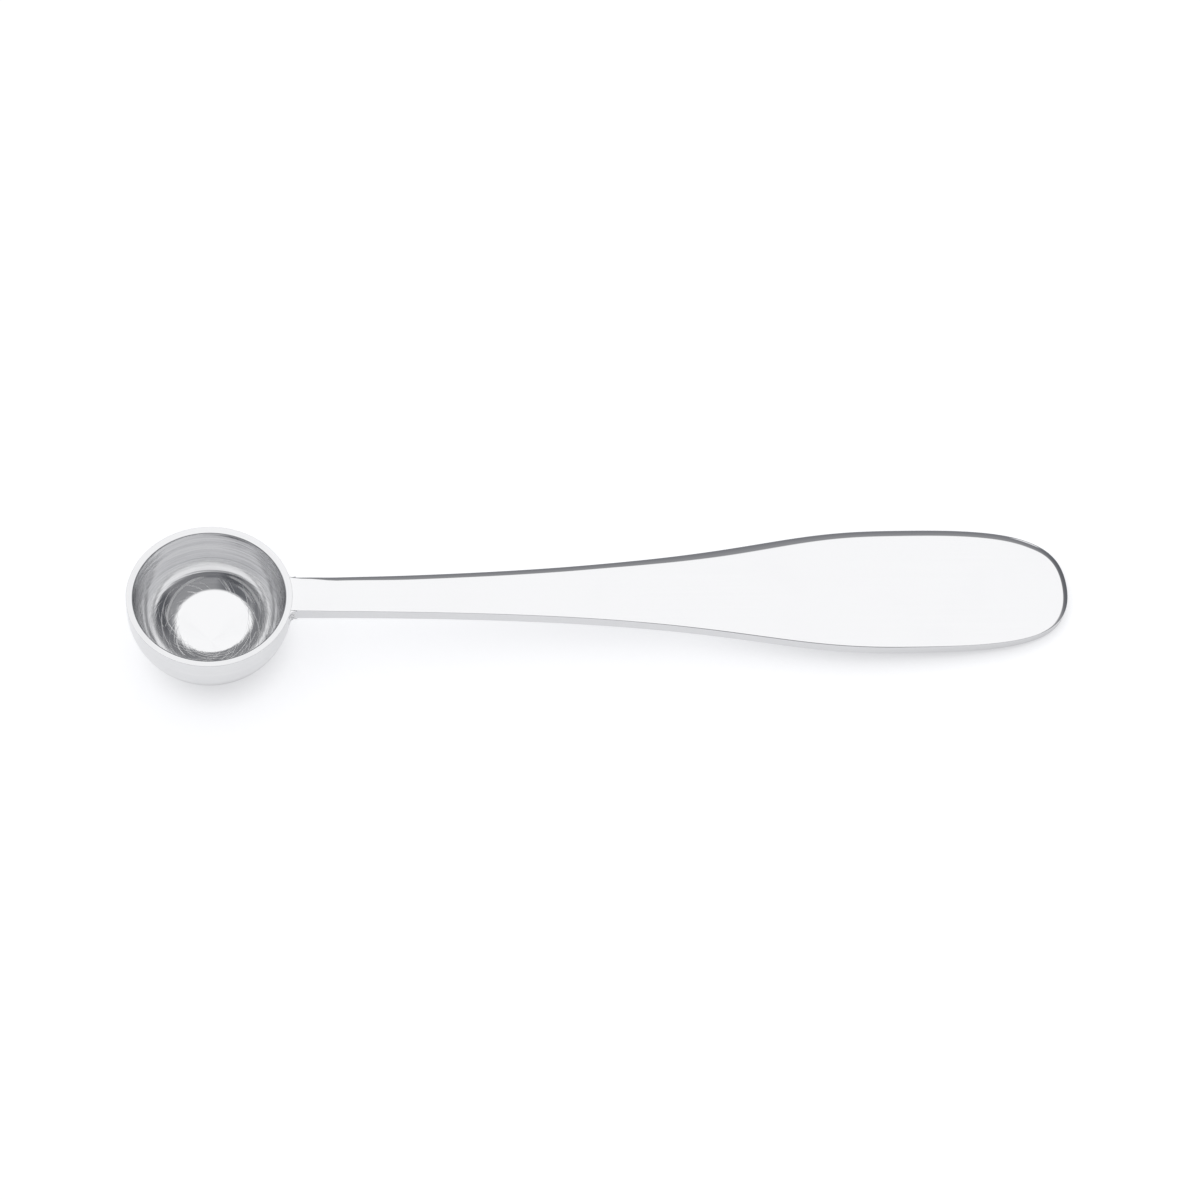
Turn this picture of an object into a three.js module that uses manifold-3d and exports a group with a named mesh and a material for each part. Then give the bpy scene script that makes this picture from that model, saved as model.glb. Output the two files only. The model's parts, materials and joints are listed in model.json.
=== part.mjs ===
// A measuring spoon in polished steel: a drawn round bowl, a flat paddle handle cut to the
// bowl's wall, and the fillet weld that joins the two. It lies on a surface as it does in use,
// on the edge of the bowl's base and on the handle's tip. Millimetres, +Z up, handle along +X.
import * as THREE from 'three';
import { mergeVertices } from 'three/addons/utils/BufferGeometryUtils.js';
import loadManifold from 'manifold-3d';

const manifold = await loadManifold();
manifold.setup();

// Driving dimensions of the whole spoon and of the bowl.
const overallLength = 125;
const bowlDiameter = 21.7;
const bowlDepth = 11.7;
const bowlWall = 0.9;
const baseWall = 0.7;
const collarHeight = 2.2;
const baseDiameter = 6.5;
const rimRound = Math.min(0.2, bowlWall / 3);
const insideFullness = 2.3;

// Driving dimensions of the handle: a plate whose edges are rounded more across than down.
const handleThickness = 2;
const neckWidth = 5.4;
const paddleWidth = 18.7;
const paddleToTip = 23.2;
const edgeAcross = 1.5;
const edgeDown = Math.min(0.45, handleThickness * 0.4);

// How the outline eases from one width to the next, as shares of the stretch it crosses.
const neckEase = 0.74;
const neckFlare = 0.6;
const paddleEase = 0.25;
const tipEase = 0.66;
const endEase = 0.93;

// The weld: the leg of its fillet, how deep the fillet is hollowed, and the gap between pieces.
const weldLeg = 1.0;
const weldHollow = 0.3;
const jointGap = 0.1;

// Fineness of the round forms.
const roundSegments = 72;
const outlineSegments = 26;
const edgeSegments = 5;
const weldSteps = 6;

const bowlRadius = bowlDiameter / 2;
const innerRadius = bowlRadius - bowlWall;
const baseRadius = baseDiameter / 2;
const tipStation = overallLength - bowlRadius;
const paddleStation = tipStation - paddleToTip;

// The bowl's walls are straight down to the collar's end. From there the outer wall is an ellipse to
// the base, and the inner wall a fuller curve of the same kind (a fullness of 2 is an ellipse).
const baseAngle = Math.acos(baseRadius / bowlRadius);
const outerDrop = (bowlDepth - collarHeight) / Math.sin(baseAngle);
const innerDrop = bowlDepth - baseWall - collarHeight;

const bowlSteel = new THREE.MeshStandardMaterial({ color: 0xdfe0e3, roughness: 0.16, metalness: 1 });
const handleSteel = new THREE.MeshStandardMaterial({ color: 0xe6e7ea, roughness: 0.1, metalness: 1 });
const weldSteel = new THREE.MeshStandardMaterial({ color: 0xcfd0d3, roughness: 0.35, metalness: 1 });

// Points of a quarter ellipse about (x, y), from one angle to another.
function ellipseArc(x, y, halfWide, halfHigh, from, to, steps) {
  const points = [];
  for (let i = 0; i <= steps; i += 1) {
    const angle = from + ((to - from) * i) / steps;
    points.push(new THREE.Vector2(x + halfWide * Math.cos(angle), y + halfHigh * Math.sin(angle)));
  }
  return points;
}

// Points of the inner wall below the collar, from the collar's end to the middle of the floor.
function innerWallPoints(steps) {
  const points = [];
  for (let i = 0; i <= steps; i += 1) {
    const angle = (Math.PI / 2) * (i / steps);
    const across = Math.cos(angle) ** (2 / insideFullness);
    const down = Math.sin(angle) ** (2 / insideFullness);
    points.push(new THREE.Vector2(innerRadius * across, -collarHeight - innerDrop * down));
  }
  points[steps].x = 0;
  return points;
}

// Radius of the bowl's outer wall at a height below the rim (height is negative).
function outerRadiusAt(height) {
  const below = Math.max(0, -height - collarHeight) / outerDrop;
  return bowlRadius * Math.sqrt(Math.max(0, 1 - below * below));
}

// The drawn bowl: base, outer wall, rounded rim and inner wall, turned about the bowl's axis. The turn
// starts half a step off, so that the base rests on one of its short sides and not on a corner.
function makeBowl() {
  const quarter = Math.PI / 2;
  const profile = [
    new THREE.Vector2(0, -bowlDepth),
    ...ellipseArc(0, -collarHeight, bowlRadius, outerDrop, -baseAngle, 0, 10),
    ...ellipseArc(bowlRadius - rimRound, -rimRound, rimRound, rimRound, 0, quarter, 3),
    ...ellipseArc(innerRadius + rimRound, -rimRound, rimRound, rimRound, quarter, Math.PI, 3),
    ...innerWallPoints(14),
  ];
  const geometry = new THREE.LatheGeometry(profile, roundSegments, Math.PI / roundSegments);
  geometry.rotateX(quarter);
  return geometry;
}

// Half of the handle's outline, drawn from the bowl's wall to the tip on the side given by its sign.
function drawSide(shape, sign) {
  const half = paddleWidth / 2;
  const reach = paddleStation - bowlRadius;
  const neck = neckWidth / 2;
  shape.bezierCurveTo(
    bowlRadius + reach * neckEase, sign * (neck + neckFlare),
    paddleStation - reach * paddleEase, sign * half,
    paddleStation, sign * half,
  );
  shape.bezierCurveTo(
    paddleStation + paddleToTip * tipEase, sign * half,
    tipStation, sign * half * endEase,
    tipStation, 0,
  );
}

// The outline of the handle's plate. Its neck runs on into the bowl, for the cut at the wall.
function handleOutline() {
  const neck = neckWidth / 2;
  const innerEnd = bowlRadius / 2;
  const lower = new THREE.Shape();
  lower.moveTo(bowlRadius, -neck);
  drawSide(lower, -1);
  const upper = new THREE.Shape();
  upper.moveTo(bowlRadius, neck);
  drawSide(upper, 1);
  const upperPoints = upper.getPoints(outlineSegments).reverse();
  return new THREE.Shape([
    new THREE.Vector2(innerEnd, -neck),
    ...lower.getPoints(outlineSegments),
    ...upperPoints.slice(1),
    new THREE.Vector2(innerEnd, neck),
  ]);
}

// A closed geometry as a solid that can be cut.
function toSolid(geometry) {
  geometry.deleteAttribute('normal');
  geometry.deleteAttribute('uv');
  const merged = mergeVertices(geometry);
  return new manifold.Manifold(new manifold.Mesh({
    numProp: 3,
    vertProperties: merged.attributes.position.array,
    triVerts: Uint32Array.from(merged.index.array),
  }));
}

// The triangles of a solid as a geometry again.
function toGeometry(solid) {
  const mesh = solid.getMesh();
  const geometry = new THREE.BufferGeometry();
  geometry.setAttribute('position', new THREE.BufferAttribute(mesh.vertProperties, 3));
  geometry.setIndex(new THREE.BufferAttribute(mesh.triVerts, 1));
  geometry.computeVertexNormals();
  return geometry;
}

// The handle: the plate with rounded edges, its top level with the rim, cut round to the bowl's wall.
function makeHandle() {
  const plate = new THREE.ExtrudeGeometry(handleOutline(), {
    depth: handleThickness - 2 * edgeDown,
    bevelThickness: edgeDown,
    bevelSize: edgeAcross,
    bevelOffset: -edgeAcross,
    bevelSegments: edgeSegments,
  });
  plate.translate(0, 0, edgeDown - handleThickness);
  const cutRadius = bowlRadius + jointGap;
  const cut = new THREE.CylinderGeometry(cutRadius, cutRadius, 4 * handleThickness, roundSegments);
  cut.rotateX(Math.PI / 2);
  return toGeometry(toSolid(plate).subtract(toSolid(cut)));
}

// The path of the weld round the neck: down one side, under the plate and up the other side,
// as points with the direction that faces out of the plate.
function weldPath() {
  const corner = new THREE.Vector2(neckWidth / 2 - edgeAcross, edgeDown - handleThickness);
  const path = [{ at: new THREE.Vector2(neckWidth / 2, -edgeDown), out: new THREE.Vector2(1, 0) }];
  for (let i = 0; i <= weldSteps; i += 1) {
    const angle = (-Math.PI / 2) * (i / weldSteps);
    const at = new THREE.Vector2(edgeAcross * Math.cos(angle), edgeDown * Math.sin(angle)).add(corner);
    const out = new THREE.Vector2(Math.cos(angle) / edgeAcross, Math.sin(angle) / edgeDown);
    path.push({ at, out: out.normalize() });
  }
  const otherSide = path.map(({ at, out }) => ({
    at: new THREE.Vector2(-at.x, at.y),
    out: new THREE.Vector2(-out.x, out.y),
  }));
  return [...path, ...otherSide.reverse()];
}

// The fillet's section: x is the distance from the bowl's wall, y the distance from the handle.
function weldSection() {
  const hollow = jointGap + (weldLeg - jointGap) * weldHollow;
  const face = new THREE.QuadraticBezierCurve(
    new THREE.Vector2(weldLeg, jointGap),
    new THREE.Vector2(hollow, hollow),
    new THREE.Vector2(jointGap, weldLeg),
  );
  return [new THREE.Vector2(jointGap, jointGap), ...face.getPoints(weldSteps)];
}

// The weld bead: its section carried along the path, seated on the bowl's round wall.
function makeWeldBead() {
  const section = weldSection();
  const path = weldPath();
  const count = section.length;
  const positions = [];
  for (const { at, out } of path) {
    for (const corner of section) {
      const side = at.x + out.x * corner.y;
      const height = at.y + out.y * corner.y;
      const wall = Math.sqrt(outerRadiusAt(height) ** 2 - side ** 2);
      positions.push(wall + corner.x, side, height);
    }
  }
  const faces = [];
  const last = (path.length - 1) * count;
  for (let ring = 0; ring < last; ring += count) {
    for (let i = 0; i < count; i += 1) {
      const next = (i + 1) % count;
      faces.push(ring + i, ring + count + i, ring + next);
      faces.push(ring + next, ring + count + i, ring + count + next);
    }
  }
  for (let i = 1; i < count - 1; i += 1) {
    faces.push(0, i, i + 1);
    faces.push(last, last + i + 1, last + i);
  }
  const geometry = new THREE.BufferGeometry();
  geometry.setAttribute('position', new THREE.Float32BufferAttribute(positions, 3));
  geometry.setIndex(faces);
  geometry.computeVertexNormals();
  return geometry;
}

function namedMesh(name, geometry, material) {
  const mesh = new THREE.Mesh(geometry, material);
  mesh.name = name;
  return mesh;
}

// The height of a piece's lowest point when the spoon is turned down by an angle.
function lowestPoint(mesh, angle) {
  const points = mesh.geometry.attributes.position;
  let lowest = Infinity;
  for (let i = 0; i < points.count; i += 1) {
    lowest = Math.min(lowest, points.getZ(i) * Math.cos(angle) - points.getX(i) * Math.sin(angle));
  }
  return lowest;
}

// The angle at which the bowl's base and the handle's tip stand on the same level surface.
function restAngle(bowl, handle) {
  let under = 0;
  let over = Math.PI / 6;
  for (let i = 0; i < 40; i += 1) {
    const angle = (under + over) / 2;
    if (lowestPoint(handle, angle) > lowestPoint(bowl, angle)) {
      under = angle;
    } else {
      over = angle;
    }
  }
  return (under + over) / 2;
}

const bowl = namedMesh('bowl', makeBowl(), bowlSteel);
const handle = namedMesh('handle', makeHandle(), handleSteel);
const weldBead = namedMesh('weld_bead', makeWeldBead(), weldSteel);
const spoon = new THREE.Group();
spoon.add(bowl, handle, weldBead);

// The spoon lies down on its base and its tip, with the origin under the middle of its box.
spoon.rotation.y = restAngle(bowl, handle);

const part = new THREE.Group();
part.add(spoon);
part.updateMatrixWorld(true);
const box = new THREE.Box3().setFromObject(part, true);
const middle = box.getCenter(new THREE.Vector3());
spoon.position.set(-middle.x, -middle.y, -box.min.z);

export default part;
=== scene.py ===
import json
import math

import bmesh
import bpy
from mathutils import Matrix, Vector


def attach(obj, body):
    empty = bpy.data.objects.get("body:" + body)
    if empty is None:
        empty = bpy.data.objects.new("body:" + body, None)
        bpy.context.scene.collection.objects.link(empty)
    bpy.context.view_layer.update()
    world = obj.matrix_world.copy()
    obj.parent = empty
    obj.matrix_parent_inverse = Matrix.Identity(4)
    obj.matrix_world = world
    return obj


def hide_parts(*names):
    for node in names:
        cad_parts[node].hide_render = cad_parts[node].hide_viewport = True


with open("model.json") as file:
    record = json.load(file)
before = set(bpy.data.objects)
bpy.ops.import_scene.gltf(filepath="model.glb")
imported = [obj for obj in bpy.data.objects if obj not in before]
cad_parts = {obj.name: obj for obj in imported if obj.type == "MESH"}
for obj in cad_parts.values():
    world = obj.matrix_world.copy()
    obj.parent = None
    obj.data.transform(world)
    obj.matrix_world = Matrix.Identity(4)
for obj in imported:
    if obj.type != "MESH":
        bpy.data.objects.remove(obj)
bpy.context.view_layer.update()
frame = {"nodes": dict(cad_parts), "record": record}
scene = bpy.context.scene
scene.view_settings.view_transform = "Standard"
scene.cycles.max_bounces = 16
scene.cycles.glossy_bounces = 12  # light is mirrored many times inside the bowl
print("frame loaded:", sorted(frame["nodes"]))

mm = 0.001  # pieces are drawn in millimetres on the rim's plane, handle along +X, then put in place
mergeWithin = 0.0005  # points of a mesh that lie closer than this become one
crispAngle = 50.0  # an edge between faces that turn by more degrees than this stays sharp

bowl = {
    "outerRadius": 10.76,
    "wall": 0.95,
    "depth": 11.7,
    "floor": 0.55,
    "collar": 2.2,  # the outer wall is straight down to here
    "innerCollar": 0.55,  # and the inner wall to here
    "baseRadius": 3.25,
    "baseRound": 0.35,
    "rimRound": 0.03,  # outer edge of the rim
    "rimInside": 0.25,  # its softer inner edge
    "rimDip": 0.05,  # the rim falls a little towards the inside
    "rimHold": 0.05,  # loops this far from its edges keep the rim flat
    "floorFullness": 2.06,  # the inner curve's power across and down, 2 and 2 is an ellipse
    "wallFullness": 2.99,
    "stepsAround": 256,
    "stepsDown": 60,
}

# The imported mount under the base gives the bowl's axis, and with it the lie of the whole spoon
baseMount = next(mount for mount in frame["record"]["mounts"] if mount["name"] == "bowl_base")
upward = -Vector(baseMount["axis"])
rimCentre = Vector(baseMount["pos_m"]) + upward * bowl["depth"] * mm
tilt = math.atan2(upward.x, upward.z)
spoonPlace = Matrix.Translation(rimCentre) @ Matrix.Rotation(tilt, 4, "Y") @ Matrix.Scale(mm, 4)


# Small helpers for node trees
def addNode(tree, kind, values=None, **settings):
    node = tree.nodes.new(kind)
    for name, value in settings.items():
        setattr(node, name, value)
    for socket, value in (values or {}).items():
        node.inputs[socket].default_value = value
    return node


def plug(tree, term, socket):
    if isinstance(term, bpy.types.NodeSocket):
        tree.links.new(term, socket)
    else:
        socket.default_value = term


def calc(tree, operation, *terms):
    node = addNode(tree, "ShaderNodeMath", operation=operation)
    for term, socket in zip(terms, node.inputs):
        plug(tree, term, socket)
    return node.outputs["Value"]


def vectorCalc(tree, operation, *terms):
    node = addNode(tree, "ShaderNodeVectorMath", operation=operation)
    for term, socket in zip(terms, node.inputs):
        plug(tree, term, socket)
    givesNumber = operation in ("LENGTH", "DISTANCE", "DOT_PRODUCT")
    return node.outputs["Value" if givesNumber else "Vector"]


def splitAxes(tree, vector):
    node = addNode(tree, "ShaderNodeSeparateXYZ")
    plug(tree, vector, node.inputs["Vector"])
    return node.outputs


def joinAxes(tree, *terms):
    node = addNode(tree, "ShaderNodeCombineXYZ")
    for term, socket in zip(terms, node.inputs):
        plug(tree, term, socket)
    return node.outputs["Vector"]


def ramp(tree, value, fromLow, fromHigh, toLow, toHigh):  # smooth step between two levels
    limits = {"From Min": fromLow, "From Max": fromHigh}
    node = addNode(tree, "ShaderNodeMapRange", limits, interpolation_type="SMOOTHSTEP")
    for term, socket in ((value, "Value"), (toLow, "To Min"), (toHigh, "To Max")):
        plug(tree, term, node.inputs[socket])
    return node.outputs["Result"]


def noise(tree, vector, detail=2.0, rough=0.5):
    node = addNode(tree, "ShaderNodeTexNoise", {"Scale": 1.0, "Detail": detail, "Roughness": rough})
    plug(tree, vector, node.inputs["Vector"])
    return node.outputs["Fac"]


def stretch(tree, vector, across, along):  # lines run along the second and third axes
    acrossScale = calc(tree, "DIVIDE", 1.0, across)
    alongScale = calc(tree, "DIVIDE", 1.0, along)
    return vectorCalc(tree, "MULTIPLY", vector, joinAxes(tree, acrossScale, alongScale, alongScale))


def flatten(tree, vector):  # the part of it across the bowl's axis
    return vectorCalc(tree, "MULTIPLY", vector, (1.0, 1.0, 0.0))


# Vector about the bowl's axis: first the radius or a given value, then the direction
def roundAxis(tree, vector, first=None):
    flat = flatten(tree, vector)
    unit = splitAxes(tree, vectorCalc(tree, "NORMALIZE", flat))
    if first is None:
        first = vectorCalc(tree, "LENGTH", flat)
    around = [calc(tree, "MULTIPLY", unit[axis], bowl["outerRadius"]) for axis in ("X", "Y")]
    return joinAxes(tree, first, *around)


def unitAxis(turn, up):  # direction from degrees round from the right and degrees up from level
    turn, up = math.radians(turn), math.radians(up)
    return Vector((math.cos(turn) * math.cos(up), math.sin(turn) * math.cos(up), math.sin(up)))


def withinAngle(tree, direction, axis, half, fade):  # 1 near the axis, 0 past the angle from it
    facing = vectorCalc(tree, "DOT_PRODUCT", direction, axis)
    outer, inner = math.cos(math.radians(half + fade)), math.cos(math.radians(half - fade))
    return ramp(tree, facing, outer, inner, 0.0, 1.0)


def solid(colour):  # with full alpha
    return (*colour, 1.0)


def blend(tree, factor, first, second):  # mix of two colours
    node = addNode(tree, "ShaderNodeMix", data_type="RGBA")
    for term, socket in ((factor, "Factor"), (first, "A"), (second, "B")):
        plug(tree, term, node.inputs[socket])
    return node.outputs["Result"]


finishes = {
    "streakWidth": 5.0,  # streaks are this much broader than lines
    "waveWidth": 0.4,  # waves are this share of a smudge's size
    "arcLength": 45.0,  # of a swirl scratch
    "crowdWidth": 0.8,  # swirl scratches come in crowds of this width and length
    "crowdLength": 7.0,
    # levels of the noise between which each mark grows from nothing to full
    "lineLevels": (0.3, 0.7),
    "streakLevels": (0.35, 0.68),
    "smudgeLevels": (0.45, 0.75),
    "arcLevels": (0.58, 0.67),
    "crowdLevels": (0.38, 0.53),
}


def newGroup(name, inputs, outputs):
    tree = bpy.data.node_groups.new(name, "ShaderNodeTree")
    for socketName, kind, value in inputs:
        socket = tree.interface.new_socket(socketName, in_out="INPUT", socket_type=kind)
        if value is not None:
            socket.default_value = value
    for socketName in outputs:
        tree.interface.new_socket(socketName, in_out="OUTPUT", socket_type="NodeSocketFloat")
    return tree, addNode(tree, "NodeGroupInput").outputs, addNode(tree, "NodeGroupOutput").inputs


# Polishing lines: fine lines and broader streaks across the first axis of the vector
def makePolishLines():
    tree, given, result = newGroup("polishLines", [
        ("Vector", "NodeSocketVector", None),
        ("Width", "NodeSocketFloat", 0.2),
        ("Length", "NodeSocketFloat", 12.0),
    ], ["Lines", "Streaks"])
    lines = noise(tree, stretch(tree, given["Vector"], given["Width"], given["Length"]), 3.0, 0.6)
    broad = calc(tree, "MULTIPLY", given["Width"], finishes["streakWidth"])
    streaks = noise(tree, stretch(tree, given["Vector"], broad, given["Length"]))
    plug(tree, ramp(tree, lines, *finishes["lineLevels"], 0.0, 1.0), result["Lines"])
    plug(tree, ramp(tree, streaks, *finishes["streakLevels"], 0.0, 1.0), result["Streaks"])
    return tree


# Marks of handling: cloudy smudges and a slight waviness of the metal
def makeHandlingMarks():
    tree, given, result = newGroup("handlingMarks", [
        ("Vector", "NodeSocketVector", None),
        ("Size", "NodeSocketFloat", 6.0),
    ], ["Smudges", "Waves"])
    clouds = noise(tree, stretch(tree, given["Vector"], given["Size"], given["Size"]), 4.0, 0.55)
    narrow = calc(tree, "MULTIPLY", given["Size"], finishes["waveWidth"])
    waves = noise(tree, stretch(tree, given["Vector"], narrow, given["Size"]), 1.0)
    plug(tree, ramp(tree, clouds, *finishes["smudgeLevels"], 0.0, 1.0), result["Smudges"])
    plug(tree, waves, result["Waves"])
    return tree


# Swirl scratches: sparse fine arcs about a centre of their own
def makeSwirls():
    tree, given, result = newGroup("swirlScratches", [
        ("Vector", "NodeSocketVector", None),
        ("Centre", "NodeSocketVector", None),
        ("Width", "NodeSocketFloat", 0.15),
    ], ["Scratches"])
    ring = roundAxis(tree, vectorCalc(tree, "SUBTRACT", given["Vector"], given["Centre"]))
    arcs = noise(tree, stretch(tree, ring, given["Width"], finishes["arcLength"]), 1.0)
    crowds = noise(tree, stretch(tree, ring, finishes["crowdWidth"], finishes["crowdLength"]), 1.0)
    fine = ramp(tree, arcs, *finishes["arcLevels"], 0.0, 1.0)
    crowded = ramp(tree, crowds, *finishes["crowdLevels"], 0.0, 1.0)
    plug(tree, calc(tree, "MULTIPLY", fine, crowded), result["Scratches"])
    return tree


polishLines = makePolishLines()
handlingMarks = makeHandlingMarks()
swirlScratches = makeSwirls()
print("shared finishes ready: polishing lines, handling marks, swirl scratches")


def placeGroup(tree, group, vector, **values):
    node = addNode(tree, "ShaderNodeGroup", node_tree=group)
    plug(tree, vector, node.inputs["Vector"])
    for name, value in values.items():
        node.inputs[name].default_value = value
    return node.outputs


# A metal whose patterns are laid out in the spoon's own millimetres
def newSteel(name, look):
    material = bpy.data.materials.new(name)
    material.use_nodes = True
    material.diffuse_color = solid(look["bright"])
    tree = material.node_tree
    metal = tree.nodes["Principled BSDF"]
    metal.inputs["Metallic"].default_value = 1.0
    where = addNode(tree, "ShaderNodeTexCoord")
    turn = addNode(tree, "ShaderNodeMapping", vector_type="TEXTURE")
    turn.inputs["Location"].default_value = rimCentre
    turn.inputs["Rotation"].default_value = (0.0, tilt, 0.0)
    turn.inputs["Scale"].default_value = (mm, mm, mm)
    plug(tree, where.outputs["Object"], turn.inputs["Vector"])
    return material, tree, metal.inputs, turn.outputs["Vector"]


def tint(tree, factor, look):  # from the bright tone of the steel to its dull tone
    return blend(tree, factor, solid(look["bright"]), solid(look["dull"]))


def relief(tree, height, depth):  # depth in millimetres between the lowest and the highest point
    node = addNode(tree, "ShaderNodeBump", {"Strength": 1.0, "Distance": depth * mm})
    plug(tree, height, node.inputs["Height"])
    return node.outputs["Normal"]


bowlLook = {
    "bright": (0.815, 0.816, 0.821),
    "dull": (0.46, 0.465, 0.48),
    "polish": 0.03,  # roughness of the floor, the rim and the outside
    "streak": 0.02,  # more roughness in a streak
    "satin": 0.04,  # more roughness up the inner wall
    "satinEven": 0.7,  # share of it between the lines
    "satinLines": 0.6,  # and more of it in a line
    "satinFrom": 0.45,  # share of the way from the middle of the floor to the wall's top
    "insideFrom": 0.3,  # the inner finish ends between these distances before the rim
    "insideTo": 0.1,
    "rimFade": 0.1,  # the rim's finish ends over this much of the outside
    "scratch": 0.55,  # more roughness in a scratch
    "lineWidth": 0.2,
    "lineLength": 26.0,
    "lineDepth": 0.002,
    "smudgeSize": 7.0,
    "cleanAt": (0.35, 2.5, -10.4),  # the cleanest part of the floor
    "cleanFrom": 4.16,  # marks set in between these distances from it
    "cleanTo": 5.2,
    "swirlWidth": 0.16,
    "swirlCentres": [(0.5, 2.2, 0.0), (-1.2, -0.2, 0.0), (-2.6, 3.4, 0.0)],
    "swirlEnd": 1.3,  # swirls fade out from the satin's start to this many times its distance
    # long scratches: distance from the clean part's middle, heading and half of the turn in degrees
    "longScratches": [(6.15, 142.0, 42.0), (6.45, 38.0, 36.0), (5.75, 40.0, 22.0)],
    "longHalf": 0.3,
    "longFade": 10.0,
    "longWander": 0.3,
    "spinLineAt": -5.3,  # height of a fine line that spinning left on the inner wall
    "spinLineHalf": 0.16,
    "patchAt": (5.5, 7.6, -2.6),  # a duller patch on the inner wall
    "patchFrom": 1.8,
    "patchTo": 6.0,
    # shares of the dull tone
    "cleanDull": 0.18,
    "lineDull": 0.06,
    "lineDullInside": 0.24,  # more of it inside
    "streakDull": 0.24,
    "smudgeDull": 0.05,
    "rimDull": 0.3,
    "spinLineDull": 0.55,
    "patchDull": 0.45,
    # heights against that of the lines
    "streakHeight": 2.0,
    "wallHeight": 6.0,  # more height of the streaks up the wall
    "waveHeight": 3.0,
}

handleLook = {
    "bright": (0.75, 0.751, 0.759),
    "dull": (0.68, 0.683, 0.694),
    "polish": 0.04,
    "streak": 0.015,
    "smudge": 0.05,
    "lineWidth": 0.3,
    "lineLength": 40.0,
    "lineDepth": 0.0001,
    "waveDepth": 0.0012,
    "smudgeSize": 9.0,
    "smudgeDull": 0.1,
    "lineDull": 0.08,
}

weldLook = {
    "bright": (0.74, 0.742, 0.75),
    "dull": (0.17, 0.165, 0.16),
    "polish": 0.06,
    "coarse": 0.25,  # more roughness among the pits
    "pitSize": 0.22,
    "pitLevels": (0.46, 0.6),  # levels of the noise between which a pit grows to full
    "pitDepth": 0.6,  # share of the lumps' depth
    "pitFrom": 0.2,  # pits fade out between these distances from the bowl's wall
    "pitTo": 0.75,
    "pitAsideFrom": 0.15,  # and between these distances from the side of the plate
    "pitAsideTo": 0.6,
    "groundFrom": -0.3,  # the top is ground smooth from here up
    "groundTo": -0.15,
    "lumpSize": 0.4,
    "lumpDepth": 0.02,
}


# Where on the bowl: inside it, up its satin wall, on its rim, and off the clean part of its floor
def bowlZones(tree, spot, along, stations, look):
    rimFrom, rimTo, wallTop = stations["rimFrom"], stations["rimTo"], stations["wallTop"]
    inside = ramp(tree, along, rimFrom - look["insideFrom"], rimFrom - look["insideTo"], 1.0, 0.0)
    upWall = ramp(tree, along, wallTop * look["satinFrom"], wallTop, 0.0, 1.0)
    beforeOutside = ramp(tree, along, rimTo, rimTo + look["rimFade"], 1.0, 0.0)
    fromClean = vectorCalc(tree, "DISTANCE", spot, look["cleanAt"])
    return {
        "inside": inside,
        "satin": calc(tree, "MULTIPLY", upWall, inside),
        "onRim": calc(tree, "MULTIPLY", beforeOutside, calc(tree, "SUBTRACT", 1.0, inside)),
        "offClean": ramp(tree, fromClean, look["cleanFrom"], look["cleanTo"], 0.0, 1.0),
    }


# One scratch that runs part of the way round the clean part of the floor, a little unsteady
def longScratch(tree, spot, unsteady, look, reach, heading, halfTurn):
    middle, wander = look["cleanAt"], look["longWander"]
    away = vectorCalc(tree, "NORMALIZE", vectorCalc(tree, "SUBTRACT", spot, middle))
    shown = withinAngle(tree, away, unitAxis(heading, 0.0), halfTurn, look["longFade"])
    wandering = calc(tree, "MULTIPLY_ADD", unsteady, wander, -wander / 2.0 - reach)
    fromMiddle = vectorCalc(tree, "DISTANCE", spot, middle)
    off = calc(tree, "ABSOLUTE", calc(tree, "ADD", fromMiddle, wandering))
    return ramp(tree, off, 0.0, look["longHalf"], shown, 0.0)


# Scratches on the bowl's floor: crowds of fine arcs that end at the wall, and a few long ones
def bowlScratches(tree, spot, along, wear, zones, wallFrom, look):
    arcs = 0.0
    for centre in look["swirlCentres"]:
        swirl = placeGroup(tree, swirlScratches, spot, Centre=centre, Width=look["swirlWidth"])
        arcs = calc(tree, "MAXIMUM", swirl["Scratches"], arcs)
    belowWall = ramp(tree, along, wallFrom, wallFrom * look["swirlEnd"], zones["offClean"], 0.0)
    scratches = calc(tree, "MULTIPLY", arcs, belowWall)
    for place in look["longScratches"]:
        line = longScratch(tree, spot, wear["Waves"], look, *place)
        scratches = calc(tree, "MAXIMUM", scratches, line)
    return scratches


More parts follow.
